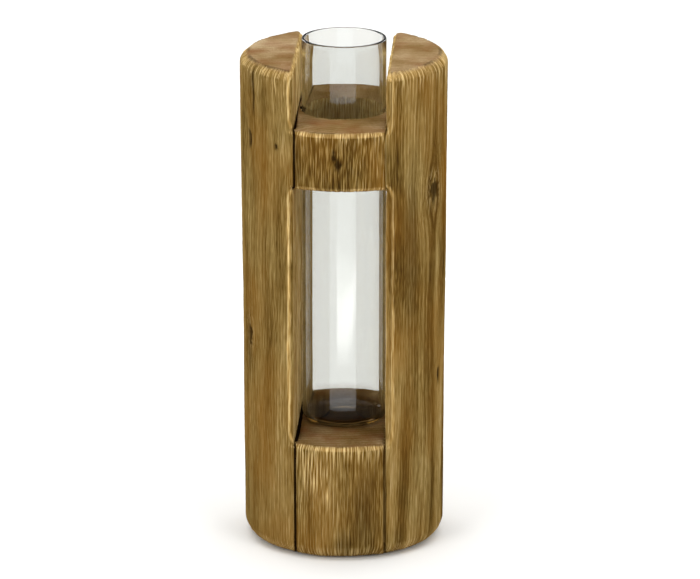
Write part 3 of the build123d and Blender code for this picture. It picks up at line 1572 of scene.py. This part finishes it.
@dataclass
class Stand:
    """The four boards of the wooden stand, with lengths in millimetres."""

    sizes: StandSizes
    cheek_axis: float = 33.5
    cheek_spine: float = 24.0
    base_round: float = 9.0
    top_round: float = 5.5
    opening_round: float = 3.0
    bore_clearance: float = 0.75
    close_pitch: float = 1.1
    close_reach: float = 7.0
    bridge_loop_pitch: float = 1.6
    sill_run: float = 4.0
    corner_run: float = 7.0
    block_grain: BrushedGrain = BrushedGrain(seed=27.1, groove_depth=0.32, ring_share=0.18)
    bridge_grain: BrushedGrain = BrushedGrain(seed=41.9, groove_depth=0.4, ring_share=0.22, ring_jitter=0.35)

    def cheek(self, look: CheekLook) -> Board:
        """One cheek.

        Args:
            look: what sets it apart.

        Returns:
            The board, ready to build.
        """
        sizes = self.sizes
        joints = (sizes.block_top, sizes.bridge_floor, sizes.bridge_top)
        runs = (self.sill_run, -self.corner_run, self.corner_run)
        return Board(
            node=look.node,
            finish=look.finish,
            grain=look.grain,
            sizes=sizes,
            seams=Seams(sizes),
            wear_and_light=Wear(
                sizes,
                look.grain.seed,
                (Arris(sizes.height, reach=15.0, strength=0.8), Arris(0.0, reach=9.0, strength=0.5)),
                rim_wear_and_highlight=look.rim_wear_and_highlight,
                line_offset=look.line_offset,
            ),
            axis=Vector((self.cheek_axis * look.side.value, 0, 0)),
            low=0.0,
            high=sizes.height,
            low_round=self.base_round,
            high_round=self.top_round,
            outline_level=(sizes.block_top + sizes.bridge_floor) / 2,
            glue_faces=(sizes.half_gap * look.side.value,),
            corners=tuple(Corner(level, run) for level, run in zip(joints, runs)),
            spine=self.cheek_spine,
            edge_ease=look.edge_ease,
            bands=tuple(Band(level, self.close_reach, self.close_pitch) for level in joints),
        )

    def block(self) -> Board:
        """The lower block, which the tube stands on.

        Returns:
            The board, ready to build.
        """
        sizes = self.sizes
        arrises = (Arris(sizes.block_top, reach=12.0, strength=0.7), Arris(0.0, reach=9.0, strength=0.5))
        return Board(
            node="lower_block",
            finish=BLOCK_PINE,
            grain=self.block_grain,
            sizes=sizes,
            seams=Seams(sizes),
            wear_and_light=Wear(sizes, self.block_grain.seed, arrises),
            axis=Vector((0, 0, 0)),
            low=0.0,
            high=sizes.block_top,
            low_round=self.base_round,
            high_round=self.opening_round,
            outline_level=sizes.block_top / 2,
            glue_faces=(-sizes.half_gap, sizes.half_gap),
            spine=sizes.half_gap,
            edge_run=self.corner_run,
            run_above=sizes.block_top / 2,
        )

    def bridge(self) -> Bridge:
        """The upper bridge, which guides the tube.

        Returns:
            The board, ready to build.
        """
        sizes = self.sizes
        top = Arris(sizes.bridge_top, reach=10.0, strength=0.6)
        floor = Arris(sizes.bridge_floor, reach=3.0, strength=0.35)
        return Bridge(
            node="upper_bridge",
            finish=BRIDGE_PINE,
            grain=self.bridge_grain,
            sizes=sizes,
            seams=Seams(sizes),
            wear_and_light=Wear(sizes, self.bridge_grain.seed, (top, floor)),
            axis=Vector((0, 0, 0)),
            low=sizes.bridge_floor,
            high=sizes.bridge_top,
            low_round=self.opening_round,
            high_round=self.opening_round,
            outline_level=(sizes.bridge_floor + sizes.bridge_top) / 2,
            glue_faces=(-sizes.half_gap, sizes.half_gap),
            bore_radius=sizes.tube_radius + self.bore_clearance,
            loop_pitch=self.bridge_loop_pitch,
            edge_run=self.corner_run,
        )

    def build(self) -> list[bpy.types.Object]:
        """Builds the boards from left to right and from the base up.

        Returns:
            The boards' pieces.
        """
        boards = (self.cheek(LEFT_CHEEK), self.cheek(RIGHT_CHEEK), self.block(), self.bridge())
        return [board.build() for board in boards]


@dataclass(frozen=True)
class Lamp:
    """One soft lamp of the studio, with lengths in metres and its power in watts."""

    name: str
    place: tuple[float, float, float]
    aim: tuple[float, float, float]
    width: float
    height: float
    power: float


@dataclass
class Studio:
    """The floor, the soft light and the camera at the photograph's angle.

    The camera is a pinhole with its focal length in pixels of a picture that is 700 wide. Lengths
    are in millimetres.
    """

    floor: PaleFloor
    azimuth: float = 2.8
    elevation: float = 16.72
    distance: float = 2600.0
    aim_height: float = 126.84
    aim_right: float = 2.92
    focal_pixels: float = 5193.0
    picture_pixels: float = 700.0
    sensor_width: float = 36.0
    floor_size: float = 6000.0
    sky_stops: tuple[tuple[float, str], ...] = ((0.11, "fafafa"), (0.21, "5c5c5c"))
    lamps: tuple[Lamp, ...] = (
        Lamp("key", place=(-1.5, -1.9, 1.3), aim=(0, 0, 0.12), width=1.2, height=1.6, power=31.0),
        Lamp("fill", place=(1.6, -1.8, 1.2), aim=(0, 0, 0.12), width=1.2, height=1.6, power=27.0),
        Lamp("back_left", place=(-1.5, 1.6, 0.65), aim=(0, 0, 0.12), width=1.0, height=1.0, power=9.0),
        Lamp("back_right", place=(1.5, 1.6, 0.65), aim=(0, 0, 0.12), width=1.0, height=1.0, power=9.0),
        Lamp("top", place=(0.0, 0.6, 2.6), aim=(0, 0.6, 0), width=4.0, height=4.0, power=108.0),
        Lamp("bounce", place=(0.15, -0.39, 0.02), aim=(0.15, -0.39, -1), width=0.53, height=0.1, power=0.6),
    )

    def build(self) -> None:
        """Sets up the whole studio."""
        self.lay_floor()
        self.light()
        self.set_camera()
        bpy.context.scene.view_settings.view_transform = "Standard"

    def lay_floor(self) -> None:
        """Lays the pale floor under the stand."""
        bm = bmesh.new()
        bmesh.ops.create_grid(bm, x_segments=1, y_segments=1, size=self.floor_size / 2)
        make_piece(bm, "floor", self.floor.material())

    def light(self) -> None:
        """Hangs the lamps, and sets up a room that is pale round the horizon and dim above it."""
        world = bpy.data.worlds.new("studio")
        world.use_nodes = True
        tree = world.node_tree
        tree.nodes.clear()
        direction = add_node(tree, "ShaderNodeTexCoord").outputs["Generated"]
        height = add_node(tree, "ShaderNodeSeparateXYZ", {"Vector": direction}).outputs["Z"]
        colour = add_node(tree, "ShaderNodeValToRGB", {"Fac": height}, dict(self.sky_stops)).outputs["Color"]
        sky = add_node(tree, "ShaderNodeBackground", {"Color": colour}).outputs["Background"]
        add_node(tree, "ShaderNodeOutputWorld", {"Surface": sky})
        bpy.context.scene.world = world
        for lamp in self.lamps:
            data = bpy.data.lights.new(lamp.name, "AREA")
            data.shape = "RECTANGLE"
            data.size = lamp.width
            data.size_y = lamp.height
            data.energy = lamp.power
            light = bpy.data.objects.new(lamp.name, data)
            light.location = lamp.place
            light.rotation_euler = (Vector(lamp.place) - Vector(lamp.aim)).to_track_quat("Z", "Y").to_euler()
            bpy.context.scene.collection.objects.link(light)

    def set_camera(self) -> None:
        """Places the camera where the photograph was taken from."""
        turn = math.radians(self.azimuth)
        rise = math.radians(self.elevation)
        right = Vector((math.cos(turn), math.sin(turn), 0))
        back = Vector((math.sin(turn) * math.cos(rise), -math.cos(turn) * math.cos(rise), math.sin(rise)))
        aim = (Vector((0, 0, self.aim_height)) + right * self.aim_right) * MM
        data = bpy.data.cameras.new("photo_camera")
        data.sensor_fit = "HORIZONTAL"
        data.sensor_width = self.sensor_width
        data.lens = self.focal_pixels / self.picture_pixels * self.sensor_width
        camera = bpy.data.objects.new("photo_camera", data)
        camera.location = aim + back * self.distance * MM
        camera.rotation_euler = back.to_track_quat("Z", "Y").to_euler()
        bpy.context.scene.collection.objects.link(camera)
        bpy.context.scene.camera = camera


def main() -> None:
    """Builds the stand, the tube, the dowels' finish and the studio, and reports each piece."""
    logging.basicConfig(level=logging.INFO, format="%(message)s")
    sizes = StandSizes.from_frame()
    pieces = Stand(sizes).build()
    pieces.append(GlassTube(sizes, DrawnGlass()).build())
    pieces += Dowels(RawBeech()).dress()
    for piece in pieces:
        log.info("%s: %d vertices, %d faces", piece.name, len(piece.data.vertices), len(piece.data.polygons))
    Studio(PaleFloor()).build()


if __name__ == "__main__":
    main()
